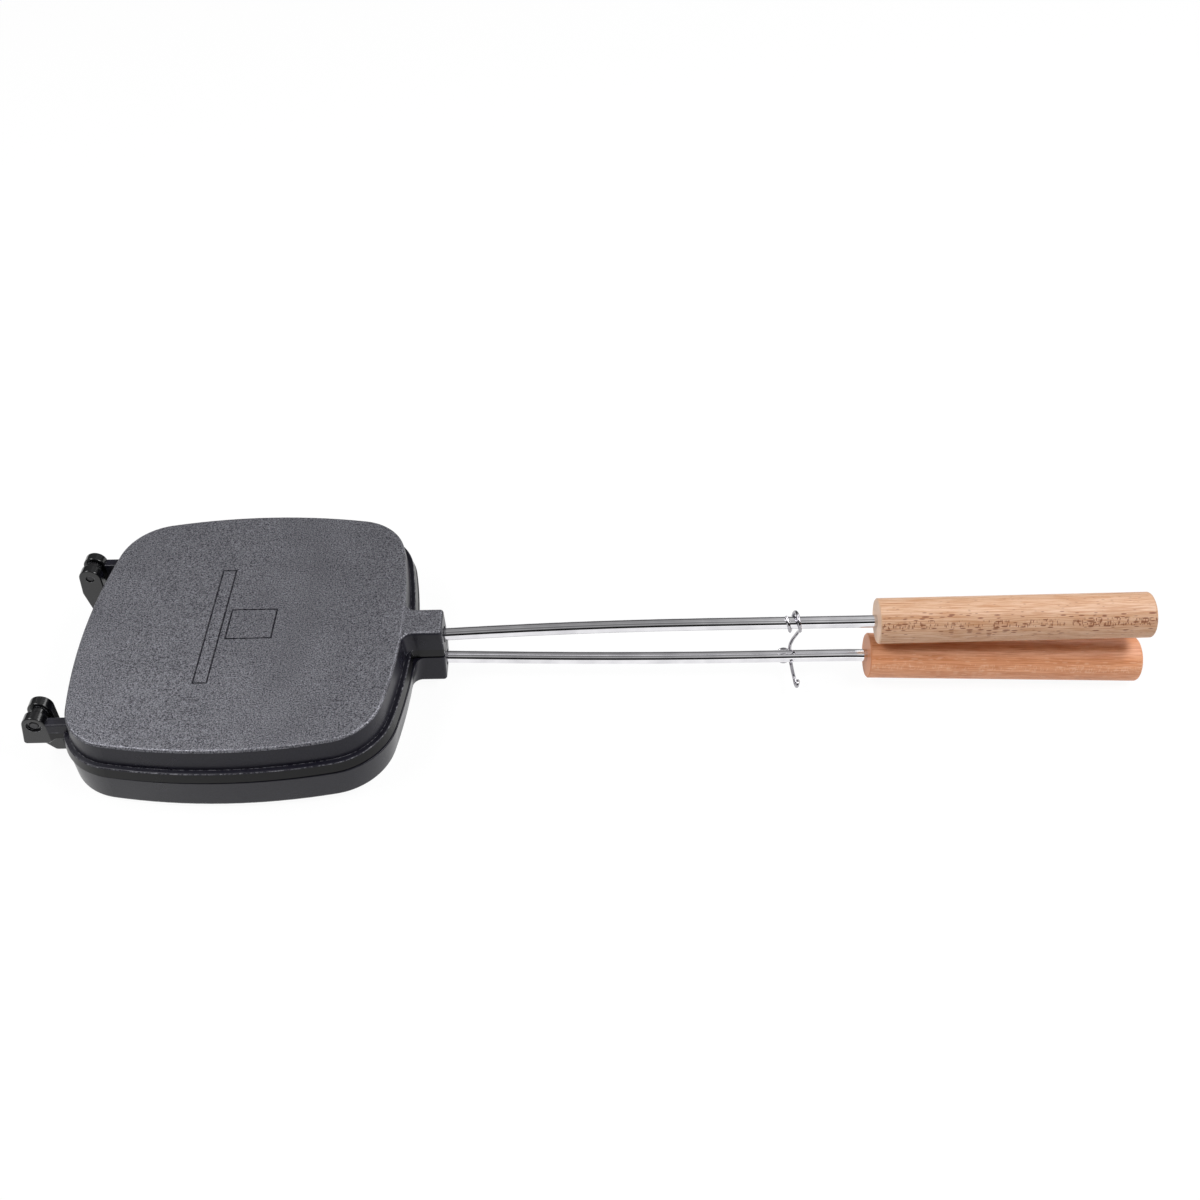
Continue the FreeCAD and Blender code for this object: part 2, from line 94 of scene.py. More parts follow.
# What the room shows, from the horizon on the camera's side (0 degrees) over the top to the
# horizon behind: a white sweep, the dark side of the room, and the grey wall behind
ROOM_LEVELS = (
    (1, 1.0), (5, 1.0), (8, 0.01), (36, 0.01), (43, 0.24), (50, 0.24), (52, 0.6), (56, 0.6),
    (59, 0.2), (88, 0.24), (92, 0.5), (98, 0.5), (102, 0.24), (127, 0.4), (140, 0.2),
    (160, 0.1), (172, 0.03),
)

# Towards the handles the room is brighter: where that begins and is full, and how much brighter
BRIGHT_SIDE = (0.04, 0.16)
BRIGHT_STRENGTH = 1.9

# The even light of the room on dull surfaces
ROOM_LIGHT = 0.07

# Softboxes: name, place, width and depth in metres, and power in watts. They all face the spot.
LAMPS = (
    ("rear_left_softbox", (-0.62, 0.36, 1.05), 0.5, 0.6, 3.3),
    ("rear_right_softbox", (0.9, 0.6, 0.9), 0.6, 0.6, 4.8),
    ("front_left_softbox", (-0.45, -0.16, 0.84), 0.5, 0.3, 5.2),
    ("front_right_softbox", (0.8, -0.17, 0.84), 0.5, 0.3, 6.9),
)
LIT_SPOT = (0.14, 0, 0.02)

# The camera's sensor width in millimetres, and the nearest that it sees in metres
SENSOR_WIDTH = 36
NEAREST_SEEN = 0.01


def linear_colour(hex_colour):
    """An sRGB hex colour as the linear red, green and blue that Blender keeps."""
    shares = [int(hex_colour[start:start + 2], 16) / 255 for start in (1, 3, 5)]
    return tuple(share / 12.92 if share <= 0.04045 else ((share + 0.055) / 1.055) ** 2.4
                 for share in shares)


def opaque(colour):
    """A colour with the full alpha that a node wants."""
    return (*colour, 1)


def grey(level):
    """A neutral colour of this linear level, as a node wants it."""
    return (level, level, level, 1)


def add_node(tree, kind, inputs=None, **settings):
    """Add a node with its settings, and set each input or link it to another node's output.

    An input goes by its name, or by its number where several share a name.
    """
    node = tree.nodes.new(kind)
    for name, value in settings.items():
        setattr(node, name, value)
    for name, value in (inputs or {}).items():
        if isinstance(value, bpy.types.NodeSocket):
            tree.links.new(value, node.inputs[name])
        else:
            node.inputs[name].default_value = value
    return node


def colour_property(name, description, hex_colour):
    """A colour that the user can change in the sidebar."""
    return FloatVectorProperty(name=name, description=description,
                               default=linear_colour(hex_colour),
                               subtype="COLOR", size=3, min=0, max=1)


def length_property(name, description, millimetres):
    """A length that the user can change in the sidebar."""
    return FloatProperty(name=name, description=description, default=millimetres * MILLIMETRE,
                         subtype="DISTANCE", unit="LENGTH", precision=5)


def angle_property(name, description, degrees):
    """An angle that the user can change in the sidebar."""
    return FloatProperty(name=name, description=description, default=math.radians(degrees),
                         subtype="ANGLE", unit="ROTATION")


class PieIronFinish(bpy.types.PropertyGroup):
    """Colours and surface sizes of the pieces."""

    coat_dark: colour_property(
        "Coat, hollows", "Dark coat in the hollows of the cast skin", "#303035")
    coat_light: colour_property(
        "Coat, crests", "Dark coat on the crests of the cast skin", "#929299")
    coat_wall: colour_property(
        "Coat, walls", "Dark coat on the smooth walls", "#15141F")
    # Painted shade: on the side of the flange this dark colour stands in for shade; on the hinge
    # lugs it is their black coat
    coat_flange_shade_and_lugs: colour_property(
        "Coat, flange shade and lugs", "Painted shade on the side of the flange, and black coat on the hinge lugs", "#0B0B0D")
    # Also a painted highlight: the same lighter colour lies in patches on the ledge above the
    # flange
    coat_worn_and_highlight: colour_property(
        "Coat, rubbed and highlight", "Coat rubbed thin along the edges, and a painted highlight on the ledge", "#8A8A90")
    coat_grain: length_property(
        "Cast grain", "Size of the sand grains that the casting copied", 0.52)
    edge_wear: length_property(
        "Edge wear", "How far from an edge the coat is rubbed", 0.5)
    plating: colour_property(
        "Plating", "Bright nickel plating of the rods", "#EDECEF")
    plating_dulled: colour_property(
        "Plating, dulled", "Plating of the rods under a thin haze", "#D2D1D5")
    wire_plating: colour_property(
        "Wire plating", "Greyer plating of the hook's wire", "#B4B2B6")
    wire_plating_dulled: colour_property(
        "Wire plating, dulled", "Plating of the hook's wire under a thin haze", "#8F8D92")
    pin_coat: colour_property(
        "Pin coat", "Black coat of the hinge pins", "#202023")
    pin_steel: colour_property(
        "Pin steel", "Steel of the hinge pins where the coat is rubbed", "#5A5A5E")
    pale_beech: colour_property(
        "Pale beech", "Early wood of the upper handle", "#D8B498")
    pale_beech_late: colour_property(
        "Pale beech, late wood", "Late wood of the upper handle", "#B7835B")
    pale_beech_rays: colour_property(
        "Pale beech, rays", "Wood rays of the upper handle", "#7C4225")
    red_beech: colour_property(
        "Red beech", "Early wood of the lower handle", "#E9AA81")
    red_beech_late: colour_property(
        "Red beech, late wood", "Late wood of the lower handle", "#CC8153")
    red_beech_rays: colour_property(
        "Red beech, rays", "Wood rays of the lower handle", "#F0C9AC")


class PieIronStudio(bpy.types.PropertyGroup):
    """The camera in front of the iron."""

    camera_place: FloatVectorProperty(
        name="Camera place", description="Where the camera stands",
        default=(0.14325, -0.37403, 0.4204), subtype="XYZ", unit="LENGTH", size=3)
    camera_pitch: angle_property(
        "Camera pitch", "How far the camera looks down", 41.41)
    camera_yaw: angle_property(
        "Camera yaw", "How far the camera turns to the left", 0.34)
    camera_roll: angle_property(
        "Camera roll", "How far the camera leans", -1.26)
    camera_lens: FloatProperty(
        name="Focal length", description="Focal length on a 36 mm wide sensor",
        default=41.209, min=1, subtype="DISTANCE_CAMERA")
    camera_rise: FloatProperty(
        name="Frame rise", description="Shift of the frame that centres the picture",
        default=-0.0833)


def new_material(name):
    """An empty material and its node tree."""
    material = bpy.data.materials.new(name)
    material.use_nodes = True
    material.node_tree.nodes.clear()
    return material, material.node_tree


def dress(node_name, material):
    """Give a CAD node this material in every slot."""
    for slot in NODES[node_name].material_slots:
        slot.material = material


def coated_cast_aluminium(finish):
    """Sand-cast aluminium under a thin dark non-stick coat.

    The outer flats keep the skin of the sand mould: small crests that catch the light, darker
    hollows, and a dull grey sheen. The walls were drawn from the mould, so they are smoother and
    darker. The panels' engraved outlines take the walls' darker coat as painted shade in the
    grooves. The side of the flange is painted darker as shade, and the hinge lugs are black and
    glossier. The coat is rubbed thin along the sharp edges, and a painted highlight lies as a
    lighter rubbed line on the ledge above the flange.
    """
    material, tree = new_material("coated_cast_aluminium")
    coordinates = add_node(tree, "ShaderNodeTexCoord").outputs
    place = coordinates["Object"]
    along, _, height = add_node(tree, "ShaderNodeSeparateXYZ", {"Vector": place}).outputs
    outward = add_node(tree, "ShaderNodeVectorMath", {0: place, 1: coordinates["Normal"]},
                       operation="DOT_PRODUCT").outputs["Value"]
    outside = add_node(tree, "ShaderNodeMath", {0: outward, 1: 0},
                       operation="GREATER_THAN").outputs[0]
    level = add_node(tree, "ShaderNodeVectorMath", {0: place, 1: (-LID_SLOPE, 0, 1)},
                     operation="DOT_PRODUCT").outputs["Value"]

    # The cast skin covers the outer flats. The panels' engraved outlines take the darker, smoother
    # wall coat instead, as painted shade in the grooves
    upper_skin = add_node(tree, "ShaderNodeMapRange",
                          {"Value": level, "From Min": TOP_SKIN[0],
                           "From Max": TOP_SKIN[1]}).outputs[0]
    lower_skin = add_node(tree, "ShaderNodeMapRange",
                          {"Value": height, "From Min": BASE_SKIN[0],
                           "From Max": BASE_SKIN[1]}).outputs[0]
    flats = add_node(tree, "ShaderNodeMath", {0: upper_skin, 1: lower_skin},
                     operation="MAXIMUM").outputs[0]
    from_middle = add_node(tree, "ShaderNodeVectorMath", {0: place},
                           operation="LENGTH").outputs["Value"]
    at_panels = add_node(tree, "ShaderNodeMath", {0: from_middle, 1: PANEL_REACH},
                         operation="LESS_THAN").outputs[0]
    at_groove = add_node(tree, "ShaderNodeMath",
                         {0: level, 1: PANEL_GROOVE[0], 2: PANEL_GROOVE[1]},
                         operation="COMPARE").outputs[0]
    # Painted shade: the grooves lose the lighter skin and show the dark wall coat
    shaded_groove = add_node(tree, "ShaderNodeMath", {0: at_panels, 1: at_groove},
                      operation="MULTIPLY").outputs[0]
    skin = add_node(tree, "ShaderNodeMath", {0: flats, 1: shaded_groove},
                    operation="SUBTRACT", use_clamp=True).outputs[0]

    # Colours of the skin and of the walls, by grain and in wide soft blotches
    grain = add_node(tree, "ShaderNodeTexNoise",
                     {"Vector": place, "Scale": 1 / finish.coat_grain, "Detail": 2,
                      "Roughness": 0.6, "Distortion": 0.4}).outputs[0]
    blotch = add_node(tree, "ShaderNodeTexNoise",
                      {"Vector": place, "Scale": 1 / COAT_BLOTCH, "Detail": 3}).outputs[0]
    crest = add_node(tree, "ShaderNodeMapRange",
                     {"Value": grain, "From Min": 0.34, "From Max": 0.68}).outputs[0]
    tone = add_node(tree, "ShaderNodeMapRange",
                    {"Value": blotch, "From Min": 0.3, "From Max": 0.7,
                     "To Min": 0.85, "To Max": 1.1}).outputs[0]
    crest_share = add_node(tree, "ShaderNodeMath", {0: crest, 1: tone},
                           operation="MULTIPLY").outputs[0]
    skin_colour = add_node(tree, "ShaderNodeMix",
                           {SHARE: crest_share, COLOUR_A: opaque(finish.coat_dark),
                            COLOUR_B: opaque(finish.coat_light)},
                           data_type="RGBA").outputs[MIXED_COLOUR]
    wall_share = add_node(tree, "ShaderNodeMath", {0: crest_share, 1: 0.3},
                          operation="MULTIPLY").outputs[0]
    wall_colour = add_node(tree, "ShaderNodeMix",
                           {SHARE: wall_share, COLOUR_A: opaque(finish.coat_wall),
                            COLOUR_B: opaque(finish.coat_dark)},
                           data_type="RGBA").outputs[MIXED_COLOUR]

    # Painted shade on the outer side of the flange, and the black coat of the hinge lugs, in one
    # dark colour
    above_seam = add_node(tree, "ShaderNodeMapRange",
                          {"Value": level, "From Min": FLANGE_FOOT[0],
                           "From Max": FLANGE_FOOT[1]}).outputs[0]
    below_ledge = add_node(tree, "ShaderNodeMapRange",
                           {"Value": level, "From Min": FLANGE_HEAD[0],
                            "From Max": FLANGE_HEAD[1]}).outputs[0]
    band = add_node(tree, "ShaderNodeMath", {0: above_seam, 1: below_ledge},
                    operation="MULTIPLY").outputs[0]
    flange = add_node(tree, "ShaderNodeMath", {0: band, 1: outside},
                      operation="MULTIPLY").outputs[0]
    at_hinge = add_node(tree, "ShaderNodeMapRange",
                        {"Value": along, "From Min": HINGE_END[0],
                         "From Max": HINGE_END[1]}).outputs[0]
    shade_and_lugs = add_node(tree, "ShaderNodeMath", {0: flange, 1: at_hinge},
                    operation="MAXIMUM").outputs[0]
    shade_and_lug_colour = add_node(tree, "ShaderNodeMix",
                      {SHARE: shade_and_lugs, COLOUR_A: wall_colour, COLOUR_B: opaque(finish.coat_flange_shade_and_lugs)},
                      data_type="RGBA").outputs[MIXED_COLOUR]
    colour = add_node(tree, "ShaderNodeMix",
                      {SHARE: skin, COLOUR_A: shade_and_lug_colour, COLOUR_B: skin_colour},
                      data_type="RGBA").outputs[MIXED_COLOUR]

    # Rubbed patches where the surface turns a sharp corner, but not inside the seam, and a painted
    # highlight: lighter patches along the ledge of the walls, where light catches its rounding
    facing = add_node(tree, "ShaderNodeNewGeometry").outputs["Normal"]
    softened = add_node(tree, "ShaderNodeBevel", {"Radius": finish.edge_wear},
                        samples=6).outputs[0]
    turn = add_node(tree, "ShaderNodeVectorMath", {0: facing, 1: softened},
                    operation="DOT_PRODUCT").outputs["Value"]
    edge = add_node(tree, "ShaderNodeMapRange",
                    {"Value": turn, "From Min": 0.99, "From Max": 0.9}).outputs[0]
    patches = add_node(tree, "ShaderNodeTexNoise",
                       {"Vector": place, "Scale": 1 / RUBBED_PATCH, "Detail": 4,
                        "Roughness": 0.7}).outputs[0]
    patchy = add_node(tree, "ShaderNodeMapRange",
                      {"Value": patches, "From Min": 0.44, "From Max": 0.62,
                       "To Max": 0.8}).outputs[0]
    # Painted highlight along the ledge of the walls, in the worn colour
    at_ledge = add_node(tree, "ShaderNodeMath",
                        {0: level, 1: FLANGE_LEDGE[0], 2: FLANGE_LEDGE[1]},
                        operation="COMPARE").outputs[0]
    outer_ledge_highlight = add_node(tree, "ShaderNodeMath", {0: at_ledge, 1: outside},
                           operation="MULTIPLY").outputs[0]
    from_centre = add_node(tree, "ShaderNodeMath", {0: along}, operation="ABSOLUTE").outputs[0]
    on_walls = add_node(tree, "ShaderNodeMath", {0: from_centre, 1: WALL_REACH},
                        operation="LESS_THAN").outputs[0]
    ledge = add_node(tree, "ShaderNodeMath", {0: outer_ledge_highlight, 1: on_walls},
                     operation="MULTIPLY").outputs[0]
    edge_wear_and_ledge_highlight = add_node(tree, "ShaderNodeMath", {0: edge, 1: ledge},
                       operation="MAXIMUM").outputs[0]
    in_seam = add_node(tree, "ShaderNodeMath", {0: level, 1: SEAM[0], 2: SEAM[1]},
                       operation="COMPARE").outputs[0]
    wear_and_highlight_off_seam = add_node(tree, "ShaderNodeMath", {0: edge_wear_and_ledge_highlight, 1: in_seam},
                         operation="SUBTRACT", use_clamp=True).outputs[0]
    worn_and_lit = add_node(tree, "ShaderNodeMath", {0: wear_and_highlight_off_seam, 1: patchy},
                    operation="MULTIPLY").outputs[0]
    worn_and_highlight_colour = add_node(tree, "ShaderNodeMix",
                           {SHARE: worn_and_lit, COLOUR_A: colour, COLOUR_B: opaque(finish.coat_worn_and_highlight)},
                           data_type="RGBA").outputs[MIXED_COLOUR]

    # The skin's crests are smoother than its hollows, and its sheen and relief stand out
    skin_gloss = add_node(tree, "ShaderNodeMapRange",
                          {"Value": grain, "From Min": 0.3, "From Max": 0.7,
                           "To Min": 0.48, "To Max": 0.36}).outputs[0]
    wall_gloss = add_node(tree, "ShaderNodeMapRange",
                          {"Value": blotch, "From Min": 0.3, "From Max": 0.7,
                           "To Min": 0.26, "To Max": 0.36}).outputs[0]
    smooth_gloss = add_node(tree, "ShaderNodeMix",
                            {SHARE: at_hinge, NUMBER_A: wall_gloss, NUMBER_B: 0.17}).outputs[0]
    roughness = add_node(tree, "ShaderNodeMix",
                         {SHARE: skin, NUMBER_A: smooth_gloss, NUMBER_B: skin_gloss}).outputs[0]
    sheen = add_node(tree, "ShaderNodeMapRange",
                     {"Value": skin, "To Min": 0.1, "To Max": 0.65}).outputs[0]
    relief = add_node(tree, "ShaderNodeMapRange",
                      {"Value": skin, "To Min": 0.1, "To Max": 0.6}).outputs[0]
    hinge_coat = add_node(tree, "ShaderNodeMath", {0: at_hinge, 1: 0.6},
                          operation="MULTIPLY").outputs[0]
    bump = add_node(tree, "ShaderNodeBump",
                    {"Strength": relief, "Distance": 0.3 * MILLIMETRE,
                     "Height": grain}).outputs[0]
    shader = add_node(tree, "ShaderNodeBsdfPrincipled",
                      {"Base Color": worn_and_highlight_colour, "Metallic": sheen, "Roughness": roughness,
                       "Normal": bump, "IOR": 1.33, "Coat Weight": hinge_coat,
                       "Coat Roughness": 0.12}).outputs[0]
    add_node(tree, "ShaderNodeOutputMaterial", {"Surface": shader})
    return material


def plated_steel(name, bright, dulled):
    """Drawn steel wire with bright nickel plating, and where it is handled, a thin haze over it.

    A mirror softened a little by the long drawing lines under the plating, which are wider here
    than the real ones, so that they show.
    """
    material, tree = new_material(name)
    place = add_node(tree, "ShaderNodeTexCoord").outputs["Object"]
    drawn = add_node(tree, "ShaderNodeMapping",
                     {"Vector": place, "Scale": (0.005, 1, 1)}).outputs[0]
    lines = add_node(tree, "ShaderNodeTexNoise",
                     {"Vector": drawn, "Scale": 1 / DRAWING_LINE, "Detail": 2}).outputs[0]
    haze = add_node(tree, "ShaderNodeTexNoise",
                    {"Vector": place, "Scale": 1 / PLATING_HAZE, "Detail": 3}).outputs[0]
    hazed = add_node(tree, "ShaderNodeMapRange",
                     {"Value": haze, "From Min": 0.35, "From Max": 0.75}).outputs[0]
    colour = add_node(tree, "ShaderNodeMix",
                      {SHARE: hazed, COLOUR_A: opaque(bright), COLOUR_B: opaque(dulled)},
                      data_type="RGBA").outputs[MIXED_COLOUR]
    roughness = add_node(tree, "ShaderNodeMapRange",
                         {"Value": haze, "From Min": 0.3, "From Max": 0.7,
                          "To Min": 0.04, "To Max": 0.09}).outputs[0]
    bump = add_node(tree, "ShaderNodeBump",
                    {"Strength": 0.012, "Distance": 0.05 * MILLIMETRE,
                     "Height": lines}).outputs[0]
    shader = add_node(tree, "ShaderNodeBsdfPrincipled",
                      {"Base Color": colour, "Metallic": 1, "Roughness": roughness,
                       "Normal": bump}).outputs[0]
    add_node(tree, "ShaderNodeOutputMaterial", {"Surface": shader})
    return material


def dark_pin_steel(finish):
    """Plain steel pin, blackened with the casting's coat, with a few rubs down to grey steel."""
    material, tree = new_material("dark_pin_steel")
    place = add_node(tree, "ShaderNodeTexCoord").outputs["Object"]
    rubs = add_node(tree, "ShaderNodeTexNoise",
                    {"Vector": place, "Scale": 1 / PIN_RUB, "Detail": 3}).outputs[0]
    rubbed = add_node(tree, "ShaderNodeMapRange",
                      {"Value": rubs, "From Min": 0.55, "From Max": 0.7}).outputs[0]
    colour = add_node(tree, "ShaderNodeMix",
                      {SHARE: rubbed, COLOUR_A: opaque(finish.pin_coat),
                       COLOUR_B: opaque(finish.pin_steel)},
                      data_type="RGBA").outputs[MIXED_COLOUR]
    roughness = add_node(tree, "ShaderNodeMapRange",
                         {"Value": rubs, "To Min": 0.5, "To Max": 0.3}).outputs[0]
    bump = add_node(tree, "ShaderNodeBump",
                    {"Strength": 0.3, "Distance": 0.05 * MILLIMETRE, "Height": rubs}).outputs[0]
    shader = add_node(tree, "ShaderNodeBsdfPrincipled",
                      {"Base Color": colour, "Metallic": rubbed, "Roughness": roughness,
                       "Normal": bump}).outputs[0]
    add_node(tree, "ShaderNodeOutputMaterial", {"Surface": shader})
    return material


def turned_beech(name, colours, start, lean, sawing, ray_strength, end_share):
    """Oiled beech, turned round and sanded.

    Pale even wood with fine pores in long streaks, soft year rings, and the wood rays, which are
    thin ribbons that run out from the heart. They show as short brown dashes along the grain where
    the surface follows a ring, and as upright flecks where it is sawn along the rays. The pores
    are wider here than the real ones, so that they show.
    The colours are those of early wood, late wood and rays. The handle's axis begins at start, on
    its front end, and rises by lean. Sawing is the turn of the rays about it, ray_strength is how
    much they stand out, and end_share is how much late wood darkens the sawn front end.
    """
    early, late, ray = [opaque(colour) for colour in colours]
    material, tree = new_material(name)
    place = add_node(tree, "ShaderNodeTexCoord").outputs["Object"]
    axis = add_node(tree, "ShaderNodeMapping",
                    {"Vector": place, "Location": start, "Rotation": (0, -lean, 0)},
                    vector_type="TEXTURE").outputs[0]
    grain = add_node(tree, "ShaderNodeMapping",
                     {"Vector": axis, "Rotation": (sawing, 0, GRAIN_LEAN)}).outputs[0]

    # Year rings and pores, drawn out along the grain
    ring_place = add_node(tree, "ShaderNodeMapping",
                          {"Vector": grain, "Scale": (0.02, 1, 0.2)}).outputs[0]
    rings = add_node(tree, "ShaderNodeTexNoise",
                     {"Vector": ring_place, "Scale": 1 / YEAR_RING, "Detail": 2}).outputs[0]
    pore_place = add_node(tree, "ShaderNodeMapping",
                          {"Vector": grain, "Scale": (0.03, 1, 1)}).outputs[0]
    pores = add_node(tree, "ShaderNodeTexNoise",
                     {"Vector": pore_place, "Scale": 1 / PORE, "Detail": 3,
                      "Roughness": 0.6}).outputs[0]
    crowd_place = add_node(tree, "ShaderNodeMapping",
                           {"Vector": grain, "Scale": (0.12, 1, 0.6)}).outputs[0]
    crowd = add_node(tree, "ShaderNodeTexNoise",
                     {"Vector": crowd_place, "Scale": 1 / RAY_PATCH, "Detail": 2}).outputs[0]
    ring_share = add_node(tree, "ShaderNodeMapRange",
                          {"Value": rings, "From Min": 0.3, "From Max": 0.7,
                           "To Max": 0.35}).outputs[0]
    pore_share = add_node(tree, "ShaderNodeMapRange",
                          {"Value": pores, "From Min": 0.42, "From Max": 0.62,
                           "To Max": 0.85}).outputs[0]
    late_share = add_node(tree, "ShaderNodeMath", {0: ring_share, 1: pore_share},
                          operation="ADD").outputs[0]
    turned_wood = add_node(tree, "ShaderNodeMix",
                           {SHARE: late_share, COLOUR_A: early, COLOUR_B: late},
                           data_type="RGBA").outputs[MIXED_COLOUR]

    # Wood rays, one to a cell: long or short by chance, and crowded in patches
    radial = add_node(tree, "ShaderNodeSeparateXYZ", {"Vector": grain}).outputs["Y"]
    off_rays = add_node(tree, "ShaderNodeMath", {0: radial}, operation="ABSOLUTE").outputs[0]
    crowded = add_node(tree, "ShaderNodeMapRange",
                       {"Value": crowd, "From Min": 0.38, "From Max": 0.56,
                        "To Min": 0.65}).outputs[0]
    for fleck in RAY_FLECKS:
        fleck_place = add_node(tree, "ShaderNodeMapping",
                               {"Vector": grain, "Scale": fleck["scale"]}).outputs[0]
        ribbons = add_node(tree, "ShaderNodeTexVoronoi",
                           {"Vector": fleck_place, "Scale": 1 / fleck["cell"]}).outputs
        chance = add_node(tree, "ShaderNodeSeparateColor", {"Color": ribbons["Color"]}).outputs[0]
        reach = add_node(tree, "ShaderNodeMapRange",
                         {"Value": off_rays, "From Min": fleck["crowded_to"],
                          "From Max": fleck["thin_from"], "To Min": fleck["crowded_reach"],
                          "To Max": fleck["thin_reach"]}).outputs[0]
        patch_reach = add_node(tree, "ShaderNodeMath", {0: reach, 1: crowded},
                               operation="MULTIPLY").outputs[0]
        size = add_node(tree, "ShaderNodeMapRange",
                        {"Value": chance, "From Min": 0.15, "From Max": 0.6}).outputs[0]
        fleck_reach = add_node(tree, "ShaderNodeMath", {0: patch_reach, 1: size},
                               operation="MULTIPLY").outputs[0]
        depth = add_node(tree, "ShaderNodeMath", {0: fleck_reach, 1: ribbons["Distance"]},
                         operation="SUBTRACT").outputs[0]
        ray_share = add_node(tree, "ShaderNodeMapRange",
                             {"Value": depth, "From Min": -0.04, "From Max": 0.08,
                              "To Max": ray_strength}).outputs[0]
        turned_wood = add_node(tree, "ShaderNodeMix",
                               {SHARE: ray_share, COLOUR_A: turned_wood, COLOUR_B: ray},
                               data_type="RGBA").outputs[MIXED_COLOUR]

    # The sawn front end is even. The streaks stand a little proud, and the upright flecks are sunk.
    run = add_node(tree, "ShaderNodeSeparateXYZ", {"Vector": axis}).outputs["X"]
    at_end = add_node(tree, "ShaderNodeMapRange",
                      {"Value": run, "From Min": SAWN_END[0],
                       "From Max": SAWN_END[1]}).outputs[0]
    end_wood = add_node(tree, "ShaderNodeMix",
                        {SHARE: end_share, COLOUR_A: early, COLOUR_B: late},
                        data_type="RGBA").outputs[MIXED_COLOUR]
    colour = add_node(tree, "ShaderNodeMix",
                      {SHARE: at_end, COLOUR_A: turned_wood, COLOUR_B: end_wood},
                      data_type="RGBA").outputs[MIXED_COLOUR]
    roughness = add_node(tree, "ShaderNodeMapRange",
                         {"Value": pores, "From Min": 0.3, "From Max": 0.7,
                          "To Min": 0.38, "To Max": 0.55}).outputs[0]
    height = add_node(tree, "ShaderNodeMath", {0: pores, 1: ray_share},
                      operation="SUBTRACT").outputs[0]
    bump = add_node(tree, "ShaderNodeBump",
                    {"Strength": 0.3, "Distance": 0.08 * MILLIMETRE,
                     "Height": height}).outputs[0]
    shader = add_node(tree, "ShaderNodeBsdfPrincipled",
                      {"Base Color": colour, "Roughness": roughness, "Normal": bump,
                       "IOR": 1.5}).outputs[0]
    add_node(tree, "ShaderNodeOutputMaterial", {"Surface": shader})
    return material


def pale_floor():
    """Pale studio paper, which shows as plain white beside the iron and in its plating."""
    material, tree = new_material("pale_floor")
    light = add_node(tree, "ShaderNodeLightPath").outputs
    reflected = add_node(tree, "ShaderNodeMath",
                         {0: light["Is Glossy Ray"], 1: light["Is Transmission Ray"]},
                         operation="MAXIMUM").outputs[0]
    mirrored = add_node(tree, "ShaderNodeMath", {0: reflected, 1: WHITE_MIRRORED},
                        operation="MULTIPLY").outputs[0]
    seen = add_node(tree, "ShaderNodeMath", {0: light["Is Camera Ray"], 1: WHITE_SEEN},
                    operation="MULTIPLY").outputs[0]
    white_share = add_node(tree, "ShaderNodeMath", {0: seen, 1: mirrored},
                           operation="MAXIMUM").outputs[0]
    paper = add_node(tree, "ShaderNodeBsdfDiffuse", {"Color": grey(PAPER_LEVEL)}).outputs[0]
    white = add_node(tree, "ShaderNodeEmission",
                     {"Color": grey(1), "Strength": WHITE_STRENGTH}).outputs[0]
    shown = add_node(tree, "ShaderNodeMixShader", {0: white_share, 1: paper, 2: white}).outputs[0]
    add_node(tree, "ShaderNodeOutputMaterial", {"Surface": shown})
    return material


def studio_room():
    """The room round the iron: white to the camera, and soft bands of light to the plating."""
    world = bpy.data.worlds.new("studio")
    world.use_nodes = True
    tree = world.node_tree
    tree.nodes.clear()
    light = add_node(tree, "ShaderNodeLightPath").outputs
    way = add_node(tree, "ShaderNodeTexCoord").outputs["Generated"]
    parts = add_node(tree, "ShaderNodeSeparateXYZ", {"Vector": way}).outputs
    ahead = add_node(tree, "ShaderNodeMath", {0: parts["Y"], 1: -1},
                     operation="MULTIPLY").outputs[0]
    over = add_node(tree, "ShaderNodeMath", {0: parts["Z"], 1: ahead},
                    operation="ARCTAN2").outputs[0]
    share = add_node(tree, "ShaderNodeMath", {0: over, 1: math.pi}, operation="DIVIDE").outputs[0]
    room = add_node(tree, "ShaderNodeValToRGB", {0: share})
    stops = room.color_ramp.elements
    for degrees, level in ROOM_LEVELS:
        stops.new(degrees / 180).color = grey(level)
    stops.remove(stops[0])
    stops.remove(stops[-1])
    brighter = add_node(tree, "ShaderNodeMapRange",
                        {"Value": parts["X"], "From Min": BRIGHT_SIDE[0],
                         "From Max": BRIGHT_SIDE[1], "To Min": 1,
                         "To Max": BRIGHT_STRENGTH}).outputs[0]
    mirrored = add_node(tree, "ShaderNodeBackground",
                        {"Color": room.outputs[0], "Strength": brighter}).outputs[0]
    plain = add_node(tree, "ShaderNodeBackground", {"Color": grey(ROOM_LIGHT)}).outputs[0]
    white = add_node(tree, "ShaderNodeBackground", {"Color": grey(1)}).outputs[0]
    lit = add_node(tree, "ShaderNodeMixShader",
                   {0: light["Is Diffuse Ray"], 1: mirrored, 2: plain}).outputs[0]
    shown = add_node(tree, "ShaderNodeMixShader",
                     {0: light["Is Camera Ray"], 1: lit, 2: white}).outputs[0]
    add_node(tree, "ShaderNodeOutputWorld", {"Surface": shown})
    return world


class PIE_IRON_OT_cast_halves(bpy.types.Operator):
    """Finish the two cast halves with their dark coat"""

    bl_idname = "pie_iron.cast_halves"
    bl_label = "Cast Halves"

    def execute(self, context):
        coat = coated_cast_aluminium(context.scene.pie_iron_finish)
        dress("lower_plate", coat)
        dress("upper_plate", coat)
        return {"FINISHED"}


